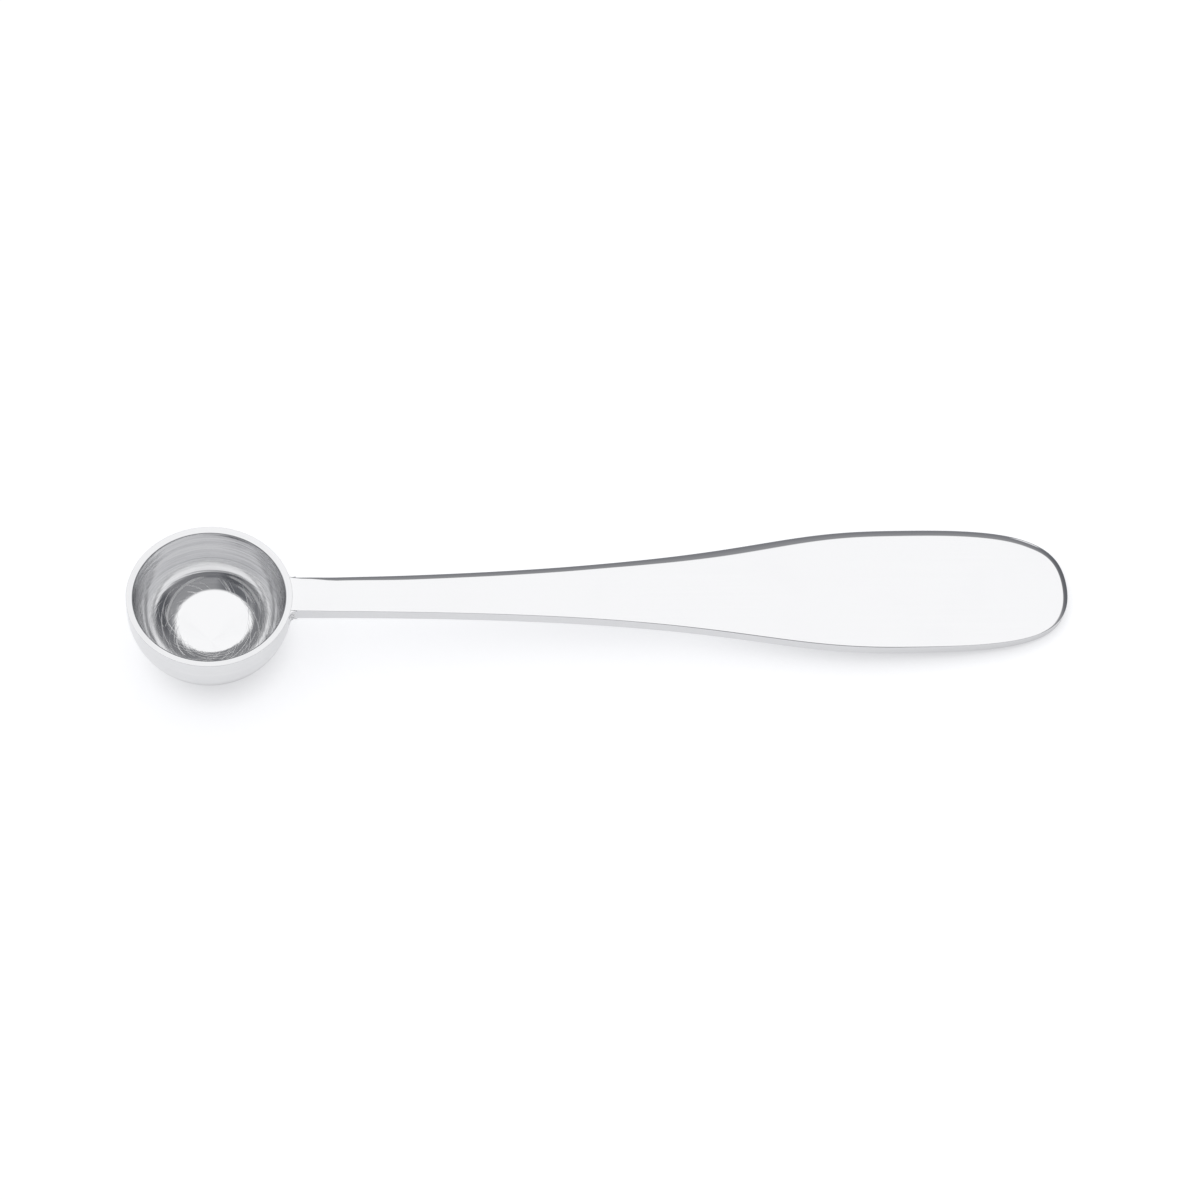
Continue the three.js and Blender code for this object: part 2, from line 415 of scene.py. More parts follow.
# How dull the bowl's steel is, from its lines, streaks, smudges, spinning line and duller patch
def bowlShade(tree, spot, marks, wear, zones, look):
    contrast = calc(tree, "MULTIPLY_ADD", zones["inside"], look["lineDullInside"], look["lineDull"])
    lined = calc(tree, "MULTIPLY", marks["Lines"], contrast)
    overClean = calc(tree, "SUBTRACT", lined, look["cleanDull"])
    even = calc(tree, "MULTIPLY_ADD", zones["offClean"], overClean, look["cleanDull"])
    clouds = calc(tree, "MULTIPLY_ADD", wear["Smudges"], look["smudgeDull"], even)
    streaks = calc(tree, "MULTIPLY", marks["Streaks"], look["streakDull"])
    streaky = calc(tree, "MULTIPLY_ADD", zones["satin"], streaks, clouds)
    polished = calc(tree, "MULTIPLY_ADD", zones["onRim"], look["rimDull"], streaky)
    height = splitAxes(tree, spot)["Z"]
    offLine = calc(tree, "ABSOLUTE", calc(tree, "SUBTRACT", height, look["spinLineAt"]))
    spinLine = ramp(tree, offLine, 0.0, look["spinLineHalf"], look["spinLineDull"], 0.0)
    spun = calc(tree, "MULTIPLY", calc(tree, "MULTIPLY", spinLine, zones["inside"]), marks["Streaks"])
    fromPatch = vectorCalc(tree, "DISTANCE", spot, look["patchAt"])
    patch = ramp(tree, fromPatch, look["patchFrom"], look["patchTo"], look["patchDull"], 0.0)
    cloudy = calc(tree, "MULTIPLY", patch, calc(tree, "ADD", wear["Smudges"], marks["Lines"]))
    return calc(tree, "MULTIPLY_ADD", cloudy, zones["satin"], calc(tree, "ADD", spun, polished))


# Bowl: polished steel with circular marks, more satin up the inner wall, swirled scratches inside
def bowlSteel(look, stations):
    material, tree, metal, spot = newSteel("bowlSteel", look)
    along = addNode(tree, "ShaderNodeAttribute", attribute_name="along").outputs["Fac"]
    ring = roundAxis(tree, spot, along)
    marks = placeGroup(tree, polishLines, ring, Width=look["lineWidth"], Length=look["lineLength"])
    wear = placeGroup(tree, handlingMarks, ring, Size=look["smudgeSize"])
    zones = bowlZones(tree, spot, along, stations, look)
    wallFrom = stations["wallTop"] * look["satinFrom"]
    scratches = bowlScratches(tree, spot, along, wear, zones, wallFrom, look)
    hairlines = calc(tree, "MULTIPLY_ADD", marks["Lines"], look["satinLines"], look["satinEven"])
    brushed = calc(tree, "MULTIPLY", zones["satin"], hairlines)
    fine = calc(tree, "MULTIPLY_ADD", marks["Streaks"], look["streak"], look["polish"])
    worn = calc(tree, "MULTIPLY_ADD", scratches, look["scratch"], fine)
    plug(tree, calc(tree, "MULTIPLY_ADD", brushed, look["satin"], worn), metal["Roughness"])
    shade = bowlShade(tree, spot, marks, wear, zones, look)
    plug(tree, tint(tree, shade, look), metal["Base Color"])
    spun = calc(tree, "MULTIPLY_ADD", zones["satin"], look["wallHeight"], look["streakHeight"])
    grooves = calc(tree, "MULTIPLY_ADD", marks["Streaks"], spun, marks["Lines"])
    uneven = calc(tree, "MULTIPLY_ADD", wear["Waves"], look["waveHeight"], grooves)
    marked = calc(tree, "MULTIPLY", zones["inside"], zones["offClean"])
    height = calc(tree, "MULTIPLY", uneven, marked)
    plug(tree, relief(tree, height, look["lineDepth"]), metal["Normal"])
    return material


# Handle: bright polish with faint lengthwise lines and a few smudges
def handleSteel(look):
    material, tree, metal, spot = newSteel("handleSteel", look)
    at = splitAxes(tree, spot)
    lengthwise = joinAxes(tree, at["Y"], at["X"], at["Z"])
    marks = placeGroup(tree, polishLines, lengthwise, Width=look["lineWidth"], Length=look["lineLength"])
    wear = placeGroup(tree, handlingMarks, spot, Size=look["smudgeSize"])
    dulled = calc(tree, "MULTIPLY_ADD", wear["Smudges"], look["smudge"], look["polish"])
    plug(tree, calc(tree, "MULTIPLY_ADD", marks["Streaks"], look["streak"], dulled), metal["Roughness"])
    lined = calc(tree, "MULTIPLY", marks["Lines"], look["lineDull"])
    shade = calc(tree, "MULTIPLY_ADD", wear["Smudges"], look["smudgeDull"], lined)
    plug(tree, tint(tree, shade, look), metal["Base Color"])
    waves = calc(tree, "MULTIPLY", wear["Waves"], look["waveDepth"] / look["lineDepth"])
    height = calc(tree, "ADD", marks["Lines"], waves)
    plug(tree, relief(tree, height, look["lineDepth"]), metal["Normal"])
    return material


# Weld: lumps and dark pits near the bowl's wall and the plate, ground smooth at the top
def weldSteel(look):
    material, tree, metal, spot = newSteel("weldSteel", look)
    at = splitAxes(tree, spot)
    radius = vectorCalc(tree, "LENGTH", flatten(tree, spot))
    fromMiddle = calc(tree, "ABSOLUTE", calc(tree, "SUBTRACT", at["Y"], handle["offCentre"]))
    wall, neck = bowl["outerRadius"], handle["neckHalf"]
    nearWall = ramp(tree, radius, wall + look["pitFrom"], wall + look["pitTo"], 1.0, 0.0)
    asideFrom, asideTo = neck + look["pitAsideFrom"], neck + look["pitAsideTo"]
    nearPlate = ramp(tree, fromMiddle, asideFrom, asideTo, nearWall, 0.0)
    coarse = ramp(tree, at["Z"], look["groundFrom"], look["groundTo"], nearPlate, 0.0)
    lumps = noise(tree, stretch(tree, spot, look["lumpSize"], look["lumpSize"]), 3.0)
    specks = noise(tree, stretch(tree, spot, look["pitSize"], look["pitSize"]), 2.0, 0.7)
    pits = calc(tree, "MULTIPLY", ramp(tree, specks, *look["pitLevels"], 0.0, 1.0), coarse)
    plug(tree, tint(tree, pits, look), metal["Base Color"])
    plug(tree, calc(tree, "MULTIPLY_ADD", coarse, look["coarse"], look["polish"]), metal["Roughness"])
    pitted = calc(tree, "MULTIPLY_ADD", pits, -look["pitDepth"], lumps)
    height = calc(tree, "MULTIPLY", pitted, coarse)
    plug(tree, relief(tree, height, look["lumpDepth"]), metal["Normal"])
    return material


def arc(centre, halfWide, halfHigh, fromAngle, toAngle, steps):  # angles in degrees
    points = []
    for step in range(steps + 1):
        angle = math.radians(fromAngle + (toAngle - fromAngle) * step / steps)
        points.append((centre[0] + halfWide * math.cos(angle), centre[1] + halfHigh * math.sin(angle)))
    return points


def innerWall():  # from the middle of the floor to the straight collar
    inner = bowl["outerRadius"] - bowl["wall"]
    drop = bowl["depth"] - bowl["floor"] - bowl["innerCollar"]
    points = [(0.0, -bowl["innerCollar"] - drop)]
    for step in range(1, bowl["stepsDown"] + 1):
        angle = math.pi / 2.0 * (1.0 - step / bowl["stepsDown"])
        across = math.cos(angle) ** (2.0 / bowl["floorFullness"])
        down = math.sin(angle) ** (2.0 / bowl["wallFullness"])
        points.append((inner * across, -bowl["innerCollar"] - drop * down))
    return points


def outerWall():  # an ellipse from the collar to the base, whose edge is a little rounded
    outer, soft = bowl["outerRadius"], bowl["baseRound"]
    baseAngle = math.acos(bowl["baseRadius"] / outer)
    drop = (bowl["depth"] - bowl["collar"]) / math.sin(baseAngle)
    points = arc((0.0, -bowl["collar"]), outer, drop, 0.0, -math.degrees(baseAngle), bowl["stepsDown"])
    edge = points.pop()
    points.append((edge[0] - 0.2 * soft, edge[1] + 0.08 * soft))  # cuts the edge's corner
    points.append((edge[0] - soft, edge[1]))
    points.append((0.0, edge[1]))
    return points


# Bowl's section from the middle of the floor, up the inner wall, over the rim and down to the base
def bowlSection():
    outer, inner = bowl["outerRadius"], bowl["outerRadius"] - bowl["wall"]
    inTurn, outTurn, dip, hold = bowl["rimInside"], bowl["rimRound"], bowl["rimDip"], bowl["rimHold"]
    points = innerWall()
    wallTop = len(points) - 1
    points.append((inner, -dip - 1.5 * inTurn))
    points += arc((inner + inTurn, -dip - inTurn), inTurn, inTurn, 180.0, 90.0, 10)
    rimFrom = len(points) - 1
    points += [(inner + inTurn + hold, -0.92 * dip), (outer - outTurn - hold, -0.08 * dip)]
    points += arc((outer - outTurn, -outTurn), outTurn, outTurn, 90.0, 0.0, 6)
    rimTo = len(points) - 1
    points.append((outer, -2.0 * outTurn))
    return points + outerWall(), {"wallTop": wallTop, "rimFrom": rimFrom, "rimTo": rimTo}


def lineMesh(name, points, closed=False):  # edges from each point to the next
    mesh = bpy.data.meshes.new(name)
    count = len(points)
    edges = [(i, (i + 1) % count) for i in range(count if closed else count - 1)]
    mesh.from_pydata(points, edges, [])
    return mesh


def measuredLine(name, points):  # a line that keeps each point's distance along it
    mesh = lineMesh(name, [(x, y, 0.0) for x, y in points])
    travelled = [0.0]
    for first, second in zip(points, points[1:]):
        travelled.append(travelled[-1] + math.dist(first, second))
    along = mesh.attributes.new("along", "FLOAT", "POINT")
    along.data.foreach_set("value", travelled)
    return mesh, travelled


def newShapeTree(name, inputs):
    tree = bpy.data.node_groups.new(name, "GeometryNodeTree")
    names = {}
    for socketName, kind in inputs:
        socket = tree.interface.new_socket(socketName, in_out="INPUT", socket_type=kind)
        names[socketName] = socket.identifier
    tree.interface.new_socket("Piece", in_out="OUTPUT", socket_type="NodeSocketGeometry")
    given = addNode(tree, "NodeGroupInput").outputs
    return tree, names, given, addNode(tree, "NodeGroupOutput").inputs["Piece"]


def closeTree(tree, shape, material, out):  # shade smooth, realize and set the material
    smooth = addNode(tree, "GeometryNodeSetShadeSmooth")
    plug(tree, shape, smooth.inputs["Geometry"])
    real = addNode(tree, "GeometryNodeRealizeInstances")
    plug(tree, smooth.outputs["Geometry"], real.inputs["Geometry"])
    coat = addNode(tree, "GeometryNodeSetMaterial", {"Material": material})
    plug(tree, real.outputs["Geometry"], coat.inputs["Geometry"])
    plug(tree, coat.outputs["Geometry"], out)


def makeTurnedTree(material):
    tree, names, given, out = newShapeTree("turnedBowl", [
        ("Section", "NodeSocketGeometry"),
        ("Path Radius", "NodeSocketFloat"),
        ("Steps Around", "NodeSocketInt"),
    ])
    section = addNode(tree, "GeometryNodeMeshToCurve")
    plug(tree, given["Section"], section.inputs["Mesh"])
    path = addNode(tree, "GeometryNodeCurvePrimitiveCircle")
    plug(tree, given["Path Radius"], path.inputs["Radius"])
    plug(tree, given["Steps Around"], path.inputs["Resolution"])
    sweep = addNode(tree, "GeometryNodeCurveToMesh")
    plug(tree, path.outputs["Curve"], sweep.inputs["Curve"])
    plug(tree, section.outputs["Curve"], sweep.inputs["Profile Curve"])
    closed = addNode(tree, "GeometryNodeMergeByDistance", {"Distance": mergeWithin})
    plug(tree, sweep.outputs["Mesh"], closed.inputs["Geometry"])
    closeTree(tree, closed.outputs["Geometry"], material, out)
    return tree, names


def runTree(name, mesh, tree, names, values):  # the tree's result as a plain mesh
    worker = bpy.data.objects.new(name + "Worker", mesh)
    scene.collection.objects.link(worker)
    modifier = worker.modifiers.new("shape", "NODES")
    modifier.node_group = tree
    for socketName, value in values.items():
        modifier[names[socketName]] = value
    bpy.context.view_layer.update()
    graph = bpy.context.evaluated_depsgraph_get()
    result = bpy.data.meshes.new_from_object(worker.evaluated_get(graph))
    result.name = name
    worker.modifiers.clear()
    bpy.data.objects.remove(worker)
    return result


def sealMesh(build, mesh, shortest=0.0):  # one closed skin with crisp edges, from a bmesh
    bmesh.ops.remove_doubles(build, verts=build.verts, dist=mergeWithin)
    if shortest:
        bmesh.ops.dissolve_degenerate(build, edges=build.edges, dist=shortest)
    bmesh.ops.recalc_face_normals(build, faces=build.faces)
    build.to_mesh(mesh)
    build.free()
    mesh.shade_smooth()
    mesh.set_sharp_from_angle(angle=math.radians(crispAngle))


def finishPiece(name, mesh, node):
    mesh.transform(spoonPlace)
    piece = bpy.data.objects.new(name, mesh)
    scene.collection.objects.link(piece)
    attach(piece, "root")
    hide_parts(node)
    print("piece made:", name, len(mesh.polygons), "faces")


def makeBowl():
    points, corners = bowlSection()
    pathRadius = bowl["outerRadius"] / 2.0
    swept = [(r - pathRadius, -z) for r, z in points]  # the sweep's axes point outwards and down
    line, travelled = measuredLine("bowlSection", swept)
    stations = {name: travelled[index] for name, index in corners.items()}
    tree, names = makeTurnedTree(bowlSteel(bowlLook, stations))
    values = {"Path Radius": pathRadius, "Steps Around": bowl["stepsAround"]}
    mesh = runTree("bowlTurned", line, tree, names, values)
    finishPiece("bowlTurned", mesh, "bowl")


handle = {
    "tip": 114.15,  # from the bowl's axis
    "thickness": 2.0,
    "neckHalf": 2.56,
    "paddleHalf": 9.26,
    "paddleAt": 90.95,
    "neckEase": 0.74,  # reach of the outline's pulls, as shares of the lengths that they act on
    "paddleEase": 0.25,
    "tipEase": 0.66,
    "endEase": 0.93,
    "neckFlare": 0.6,  # how far the neck's pull stands out
    "offCentre": 0.125,  # the plate is welded on a touch off the middle
    "jointGap": -0.035,  # the plate is fused into the rounding of the rim
    "seamWidth": 0.1,  # a faint dip where the plate meets the rim
    "seamDrop": 0.04,
    "crownSlope": 26.0,  # steepest slope of the crown, at the edge
    # share of the handle's length, crown's width, corner's radius, underside's rounding across and down
    "edge": [
        (0.0, 0.1, 0.05, 0.12, 0.12),
        (0.02, 0.4, 0.06, 0.12, 0.12),
        (0.06, 0.98, 0.08, 0.12, 0.12),
        (0.16, 1.27, 0.09, 0.12, 0.12),
        (0.38, 1.36, 0.14, 0.12, 0.12),
        (0.58, 1.92, 0.24, 0.15, 0.12),
        (0.74, 1.6, 0.22, 0.2, 0.15),
        (0.87, 1.48, 0.08, 0.5, 0.25),
        (0.96, 1.5, 0.07, 1.2, 0.4),
        (1.0, 1.05, 0.06, 1.5, 0.45),
    ],
    "stepsLong": 150,
    "stepsEnd": 110,
    "stepsCrown": 12,
    "stepsFlat": 5,
    "copeFade": 4.0,  # the round cut at the neck fades out over this length
    "shortest": 0.0002,  # shorter edges than this are dissolved
}


def bezier(p0, p1, p2, p3, steps):
    corners = [Vector(p) for p in (p0, p1, p2, p3)]
    points = []
    for step in range(steps + 1):
        t = step / steps
        shares = ((1 - t) ** 3, 3 * (1 - t) ** 2 * t, 3 * (1 - t) * t ** 2, t ** 3)
        points.append(sum((corner * share for corner, share in zip(corners, shares)), Vector((0.0, 0.0))))
    return points


# One side of the outline from the bowl's wall to the tip, with the direction that points into the plate
def handleSide():
    start, half, station = bowl["outerRadius"], handle["paddleHalf"], handle["paddleAt"]
    reach, end = station - start, handle["tip"] - station
    neck = handle["neckHalf"]
    wall = start + handle["jointGap"]
    first = Vector((math.sqrt(wall ** 2 - neck ** 2), neck))
    swell = bezier(
        (start, neck), (start + reach * handle["neckEase"], neck + handle["neckFlare"]),
        (station - reach * handle["paddleEase"], half), (station, half), handle["stepsLong"],
    )
    ending = bezier(
        (station, half), (station + end * handle["tipEase"], half),
        (handle["tip"], half * handle["endEase"]), (handle["tip"], 0.0), handle["stepsEnd"],
    )
    points = [first, first + Vector((handle["seamWidth"], 0.0))] + swell + ending[1:]
    inward = [Vector((0.0, -1.0))] * 3  # square to the neck as far as the swell's start
    for before, after in zip(points[2:], points[4:]):
        along = (after - before).normalized()
        inward.append(Vector((along.y, -along.x)))
    inward.append(Vector((-1.0, 0.0)))
    return points, inward


def smoothStep(low, high, value):
    t = min(1.0, max(0.0, (value - low) / (high - low)))
    return t * t * (3.0 - 2.0 * t)


def edgeSizes(share):  # the edge's sizes at a share of the handle's length
    for low, high in zip(handle["edge"], handle["edge"][1:]):
        if share <= high[0]:
            t = smoothStep(low[0], high[0], share)
            return [a + (b - a) * t for a, b in zip(low[1:], high[1:])]
    return handle["edge"][-1][1:]


# Section of the plate's edge as (distance in from the edge, height), from the top to the underside
def edgeSection(crown, corner, underAcross, underDown):
    slope = math.radians(handle["crownSlope"])
    thick, steps = handle["thickness"], handle["stepsCrown"]
    foot = corner * (1.0 - math.sin(slope))  # where the crown runs into the corner
    drop = (crown - foot) * math.tan(slope) / 2.0
    shares = [step / steps for step in range(steps + 1)]
    points = [(crown + (foot - crown) * share, -drop * share ** 2) for share in shares]
    low = drop + corner * math.cos(slope)
    bend = arc((0.0, -low), corner, corner, 90.0 - handle["crownSlope"], 0.0, 6)
    points += [(corner - x, z) for x, z in bend[1:]]
    sideHeights = (-low - 0.3 * corner, (underDown - thick - low) / 2.0, 1.4 * underDown - thick)
    points += [(0.0, z) for z in sideHeights]  # loops that keep the side face flat
    under = arc((0.0, underDown - thick), underAcross, underDown, 0.0, -90.0, steps + 2)
    return points + [(underAcross - x, z) for x, z in under]


# Half a row across the plate: from its spine over the top, round the edge and back underneath
def plateRow(point, into, share):
    rim = [(point + into * inFrom, z) for inFrom, z in edgeSection(*edgeSizes(share))]
    spineEnd = handle["tip"] - handle["paddleHalf"]
    shares = [step / handle["stepsFlat"] for step in range(handle["stepsFlat"])]
    flats = []
    for inner, z in (rim[0], rim[-1]):
        spine = Vector((min(inner.x, spineEnd), 0.0))
        flats.append([(spine.lerp(inner, t), z) for t in shares])
    return flats[0] + rim + flats[1][::-1]


# Rows along the outline. The neck's end is cut round to the bowl's wall, and dips at the seam
def plateRows():
    side, inward = handleSide()
    wall = bowl["outerRadius"] + handle["jointGap"]
    neckX = side[0].x
    rows = []
    for point, into in zip(side, inward):
        fade = 1.0 - smoothStep(0.0, handle["copeFade"], point.x - neckX)
        dip = 0.0 if rows else handle["seamDrop"]
        row = []
        for flat, z in plateRow(point, into, (point.x - neckX) / (handle["tip"] - neckX)):
            shift = (math.sqrt(max(0.0, wall ** 2 - flat.y ** 2)) - neckX) * fade
            row.append(Vector((flat.x + shift, flat.y, z - dip)))
        rows.append(row)
    return rows + [[Vector((p.x, -p.y, p.z)) for p in row] for row in reversed(rows)]


# Plate: rings follow the outline in from the edge, and the end that meets the bowl is closed
def makeHandle():
    build = bmesh.new()
    aside = Vector((0.0, handle["offCentre"], 0.0))
    grid = [[build.verts.new(p + aside) for p in row] for row in plateRows()]
    columns = len(grid[0])
    for first, second in zip(grid, grid[1:]):
        for c in range(columns - 1):
            build.faces.new((first[c], first[c + 1], second[c + 1], second[c]))
    for end in (grid[0], grid[-1]):
        for c in range(columns // 2):
            corners = [end[c], end[c + 1], end[columns - 2 - c], end[columns - 1 - c]]
            build.faces.new(list(dict.fromkeys(corners)))
    mesh = bpy.data.meshes.new("handlePlate")
    sealMesh(build, mesh, handle["shortest"])
    mesh.materials.append(handleSteel(handleLook))
    finishPiece("handlePlate", mesh, "handle")


weld = {
    "legAlong": 0.85,  # along the handle
    "legOut": 0.9,  # along the bowl's wall
    "hollow": 0.3,  # 0 for a face that is hollowed deep into the corner, 1 for a flat one
    "sunk": 0.04,  # the fillet is fused into the wall and the plate by this much
    "taper": 0.16,  # share of the path over which the fillet grows from its thin ends
    "thinEnd": 0.5,
    "lumpSize": 0.4,
    "lumpHeight": 0.03,
    "steps": 128,
}


# Path of the weld: down the near side of the neck, under the plate and up the far side
def weldPath():
    neck, thick = handle["neckHalf"], handle["thickness"]
    crown, corner, underAcross, underDown = edgeSizes(0.0)
    top = -crown * math.tan(math.radians(handle["crownSlope"])) / 2.0 - corner
    bend = arc((underAcross - neck, underDown - thick), underAcross, underDown, 180.0, 270.0, 8)
    near = [(-neck, top)] + bend
    flat = near + [(-y, z) for y, z in reversed(near)]
    shifted = [(y + handle["offCentre"], z) for y, z in flat]
    return [(math.sqrt(bowl["outerRadius"] ** 2 - y ** 2), y, z) for y, z in shifted]


def weldSection():
    along, out, sunk, hollow = weld["legAlong"], weld["legOut"], weld["sunk"], weld["hollow"]
    face = bezier((along, 0.0), (along * hollow, 0.0), (0.0, out * hollow), (0.0, out), 10)
    corners = [(-sunk, -sunk), (along, -sunk)] + [(p.x, p.y) for p in face] + [(-sunk, out)]
    return [(x, y, 0.0) for x, y in corners]


# The path as an even curve whose section leans on the bowl's wall and thins out at both ends
def leadWeld(tree, given, spot):
    path = addNode(tree, "GeometryNodeMeshToCurve")
    plug(tree, given["Path"], path.inputs["Mesh"])
    even = addNode(tree, "GeometryNodeResampleCurve")
    plug(tree, path.outputs["Curve"], even.inputs["Curve"])
    plug(tree, given["Steps"], even.inputs["Count"])
    facing = addNode(tree, "GeometryNodeSetCurveNormal", mode="FREE")
    plug(tree, even.outputs["Curve"], facing.inputs["Curve"])
    plug(tree, flatten(tree, spot), facing.inputs["Normal"])
    passed = addNode(tree, "GeometryNodeSplineParameter").outputs["Factor"]
    toEnd = calc(tree, "MINIMUM", passed, calc(tree, "SUBTRACT", 1.0, passed))
    growth = calc(tree, "MINIMUM", calc(tree, "DIVIDE", toEnd, given["Taper"]), 1.0)
    rest = calc(tree, "SUBTRACT", 1.0, given["Thin End"])
    swelling = addNode(tree, "GeometryNodeSetCurveRadius")
    plug(tree, facing.outputs["Curve"], swelling.inputs["Curve"])
    plug(tree, calc(tree, "MULTIPLY_ADD", growth, rest, given["Thin End"]), swelling.inputs["Radius"])
    return swelling.outputs["Curve"]


def makeWeldTree(material):
    tree, names, given, out = newShapeTree("weldFillet", [
        ("Path", "NodeSocketGeometry"),
        ("Section", "NodeSocketObject"),
        ("Steps", "NodeSocketInt"),
        ("Taper", "NodeSocketFloat"),
        ("Thin End", "NodeSocketFloat"),
        ("Lump Size", "NodeSocketFloat"),
        ("Lump Height", "NodeSocketFloat"),
    ])
    spot = addNode(tree, "GeometryNodeInputPosition").outputs["Position"]
    source = addNode(tree, "GeometryNodeObjectInfo")
    plug(tree, given["Section"], source.inputs["Object"])
    section = addNode(tree, "GeometryNodeMeshToCurve")
    plug(tree, source.outputs["Geometry"], section.inputs["Mesh"])
    sweep = addNode(tree, "GeometryNodeCurveToMesh", {"Fill Caps": True})
    plug(tree, leadWeld(tree, given, spot), sweep.inputs["Curve"])
    plug(tree, section.outputs["Curve"], sweep.inputs["Profile Curve"])
    lumps = noise(tree, stretch(tree, spot, given["Lump Size"], given["Lump Size"]))
    rise = calc(tree, "MULTIPLY", calc(tree, "SUBTRACT", lumps, 0.5), given["Lump Height"])
    outwards = addNode(tree, "GeometryNodeInputNormal").outputs["Normal"]
    lumpy = addNode(tree, "GeometryNodeSetPosition")
    plug(tree, sweep.outputs["Mesh"], lumpy.inputs["Geometry"])
    plug(tree, vectorCalc(tree, "MULTIPLY", outwards, rise), lumpy.inputs["Offset"])
    closeTree(tree, lumpy.outputs["Geometry"], material, out)
    return tree, names


def makeWeld():
    section = bpy.data.objects.new("weldSection", lineMesh("weldSection", weldSection(), closed=True))
    scene.collection.objects.link(section)
    tree, names = makeWeldTree(weldSteel(weldLook))
    values = {
        "Section": section,
        "Steps": weld["steps"],
        "Taper": weld["taper"],
        "Thin End": weld["thinEnd"],
        "Lump Size": weld["lumpSize"],
        "Lump Height": weld["lumpHeight"],
    }
    mesh = runTree("weldFillet", lineMesh("weldPath", weldPath()), tree, names, values)
    bpy.data.objects.remove(section)
    build = bmesh.new()
    build.from_mesh(mesh)
    sealMesh(build, mesh)
    finishPiece("weldFillet", mesh, "weld_bead")


makeBowl()
makeHandle()
makeWeld()

studio = {
    "softbox": (1.245, 1.245, 1.25),
    "softboxRight": -0.3,  # degrees from straight overhead
    "softboxBack": 4.9,
    "softboxHalf": 47.2,
    "softboxFade": 2.5,
    "roomHigh": (0.355, 0.358, 0.37),  # the dim room that the steel mirrors round the softbox
    "roomLow": (0.24, 0.245, 0.265),  # darker towards the floor
    "roomFrom": 0.05,  # the change between them, as the height of a direction of length 1
    "roomTo": 0.62,
    "flag": (0.16, 0.165, 0.18),  # darker screens at the back on the right and in front on the left
    "flagPlaces": [(33.0, 13.0), (-135.0, 31.0)],  # degrees round from the right, and up
    "flagHalf": 22.0,
    "flagFade": 14.0,
    "window": (1.15, 1.15, 1.17),  # a small bright patch low at the back
    "windowPlace": (64.5, 8.0),
    "windowHalf": 3.2,
    "windowFade": 1.5,
    "shade": (0.58, 0.582, 0.59),  # the camera's place in front of the softbox, where steel mirrors steel
    "shadePlace": (-81.0, 56.0),
    "shadeHalf": 8.5,
    "shadeFade": 6.0,
    "floor": (0.45, 0.45, 0.45),
    "glow": (0.69, 0.694, 0.71),  # lifts the floor to white for the camera
    "glowInSteel": 0.83,  # share of it that the steel mirrors
    # the glow's fade near the spoon is a painted contact shadow, also seen in the steel's reflection of the
    # floor
    "glowReach": 0.0045,  # metres from the spoon within which the glow fades
    "glowLeft": 0.68,  # share of it that stays under the spoon, for the camera and in the steel
    "glowLeftInSteel": 0.35,
    "floorSize": 6.0,
}


# The dim room with its screens, its window and the softbox overhead, by direction
def roomLight(tree, direction):
    height = splitAxes(tree, direction)["Z"]
    high = ramp(tree, height, studio["roomFrom"], studio["roomTo"], 0.0, 1.0)
    light = blend(tree, high, solid(studio["roomLow"]), solid(studio["roomHigh"]))
    for place in studio["flagPlaces"]:
        inFlag = withinAngle(tree, direction, unitAxis(*place), studio["flagHalf"], studio["flagFade"])
        light = blend(tree, inFlag, light, solid(studio["flag"]))
    windowAxis = unitAxis(*studio["windowPlace"])
    inWindow = withinAngle(tree, direction, windowAxis, studio["windowHalf"], studio["windowFade"])
    light = blend(tree, inWindow, light, solid(studio["window"]))
    right, back = math.radians(studio["softboxRight"]), math.radians(studio["softboxBack"])
    boxAxis = Vector((math.tan(right), math.tan(back), 1.0)).normalized()
    inBox = withinAngle(tree, direction, boxAxis, studio["softboxHalf"], studio["softboxFade"])
    return blend(tree, inBox, light, solid(studio["softbox"]))


# World: the room as the steel and the floor see it, and white for the camera
def makeWorld():
    world = bpy.data.worlds.new("studioRoom")
    scene.world = world
    world.use_nodes = True
    tree = world.node_tree
    tree.nodes.clear()
    direction = addNode(tree, "ShaderNodeTexCoord").outputs["Generated"]
    rays = addNode(tree, "ShaderNodeLightPath").outputs
    shadeAxis = unitAxis(*studio["shadePlace"])
    inShade = withinAngle(tree, direction, shadeAxis, studio["shadeHalf"], studio["shadeFade"])
    mirroredTwice = calc(tree, "GREATER_THAN", rays["Glossy Depth"], 1.5)
    shaded = calc(tree, "MULTIPLY", inShade, mirroredTwice)
    lit = addNode(tree, "ShaderNodeBackground")
    plug(tree, blend(tree, shaded, roomLight(tree, direction), solid(studio["shade"])), lit.inputs["Color"])
    white = addNode(tree, "ShaderNodeBackground", {"Color": (1.0, 1.0, 1.0, 1.0), "Strength": 1.0})
    choose = addNode(tree, "ShaderNodeMixShader")
    plug(tree, rays["Is Camera Ray"], choose.inputs["Fac"])
    plug(tree, lit.outputs["Background"], choose.inputs[1])
    plug(tree, white.outputs["Background"], choose.inputs[2])
    plug(tree, choose.outputs["Shader"], addNode(tree, "ShaderNodeOutputWorld").inputs["Surface"])
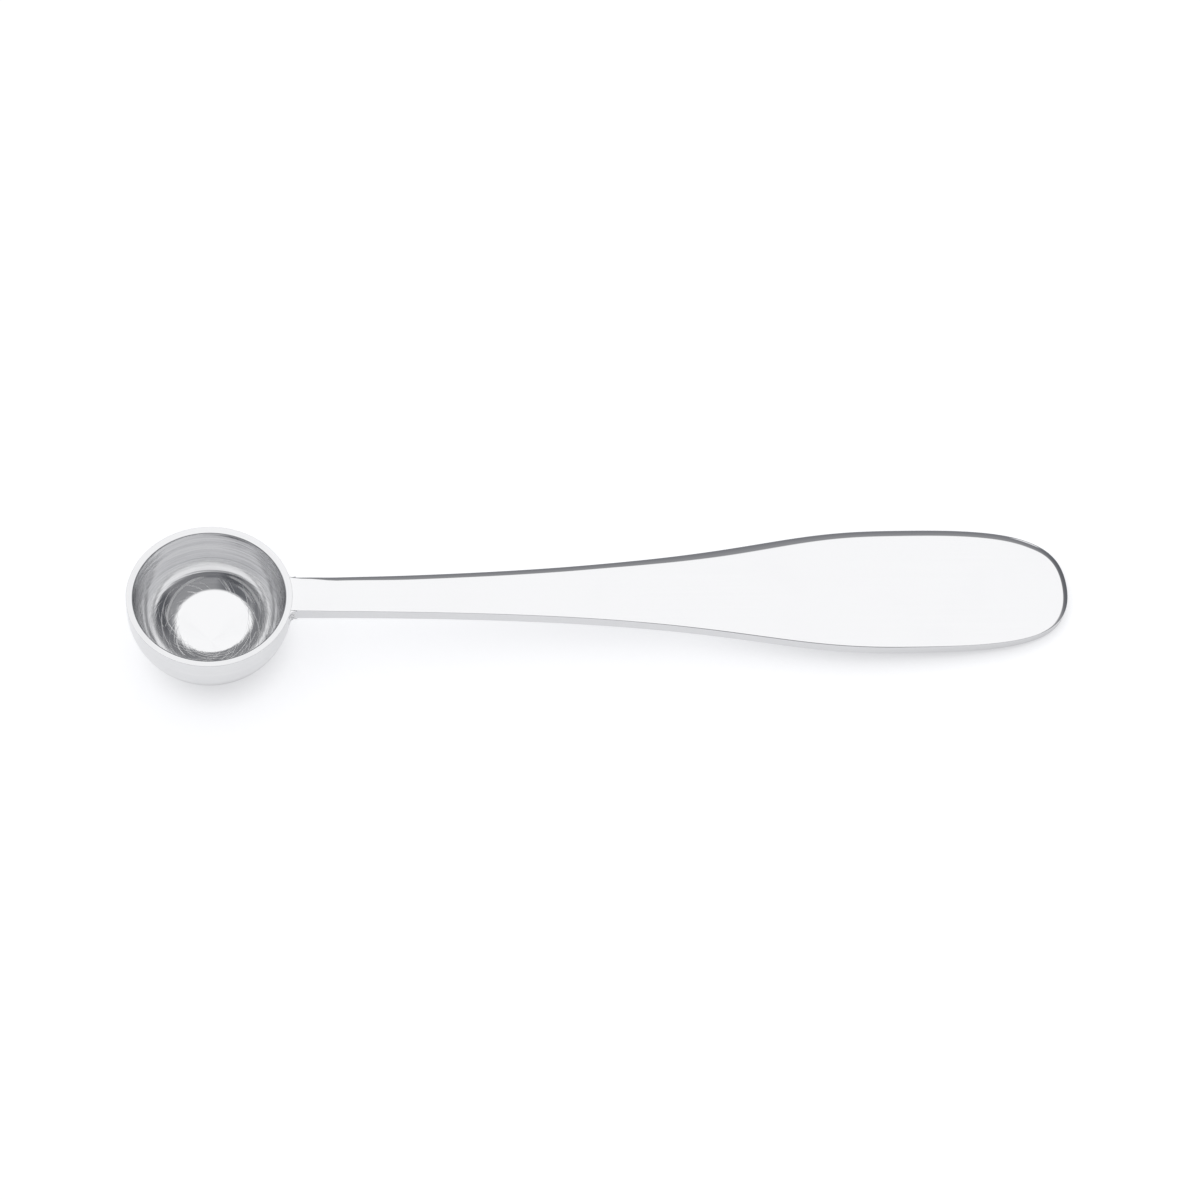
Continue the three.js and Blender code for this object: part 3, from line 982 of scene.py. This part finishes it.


# Floor: pale paint with a glow for the camera and the steel, which fades close to the spoon as a painted
# contact shadow
def floorPaint():
    material = bpy.data.materials.new("paleFloor")
    material.use_nodes = True
    tree = material.node_tree
    tree.nodes.clear()
    paint = addNode(tree, "ShaderNodeBsdfDiffuse", {"Color": solid(studio["floor"])})
    glow = addNode(tree, "ShaderNodeEmission", {"Color": solid(studio["glow"])})
    rays = addNode(tree, "ShaderNodeLightPath").outputs
    reach = {"Distance": studio["glowReach"]}
    # painted contact shadow: the glow dims where the spoon is close, for the camera and in the steel
    openness = addNode(tree, "ShaderNodeAmbientOcclusion", reach, samples=16).outputs["AO"]
    glowInPaintedShadow = ramp(tree, openness, 0.0, 1.0, studio["glowLeft"], 1.0)
    mirroredGlowInPaintedShadow = ramp(tree, openness, 0.0, 1.0, studio["glowLeftInSteel"], studio["glowInSteel"])
    direct = calc(tree, "MULTIPLY", rays["Is Camera Ray"], glowInPaintedShadow)
    mirrored = calc(tree, "MULTIPLY", rays["Is Glossy Ray"], mirroredGlowInPaintedShadow)
    plug(tree, calc(tree, "ADD", direct, mirrored), glow.inputs["Strength"])
    both = addNode(tree, "ShaderNodeAddShader")
    plug(tree, paint.outputs["BSDF"], both.inputs[0])
    plug(tree, glow.outputs["Emission"], both.inputs[1])
    plug(tree, both.outputs["Shader"], addNode(tree, "ShaderNodeOutputMaterial").inputs["Surface"])
    return material


def makeFloor():
    half = studio["floorSize"] / 2.0
    mesh = bpy.data.meshes.new("floor")
    corners = [(-half, -half, 0.0), (half, -half, 0.0), (half, half, 0.0), (-half, half, 0.0)]
    mesh.from_pydata(corners, [], [(0, 1, 2, 3)])
    mesh.materials.append(floorPaint())
    floor = bpy.data.objects.new("floor", mesh)
    scene.collection.objects.link(floor)


makeWorld()
makeFloor()
print("studio made: softbox overhead, dim room, pale floor")

viewpoint = {
    "from": (-15.486, -214.771, 347.55),  # millimetres in the spoon's frame on the floor
    "to": (-0.206, 3.264, 0.0),
    "lens": 91.605,
    "sensor": 36.0,
    "near": 0.01,  # metres
    "far": 20.0,
}


def makeCamera():
    data = bpy.data.cameras.new("photoView")
    data.lens = viewpoint["lens"]
    data.sensor_width = viewpoint["sensor"]
    data.clip_start = viewpoint["near"]
    data.clip_end = viewpoint["far"]
    camera = bpy.data.objects.new("photoView", data)
    scene.collection.objects.link(camera)
    camera.location = Vector(viewpoint["from"]) * mm
    towards = Vector(viewpoint["to"]) * mm - camera.location
    camera.rotation_euler = towards.to_track_quat("-Z", "Y").to_euler()
    scene.camera = camera


makeCamera()
print("camera made at the photograph's angle")
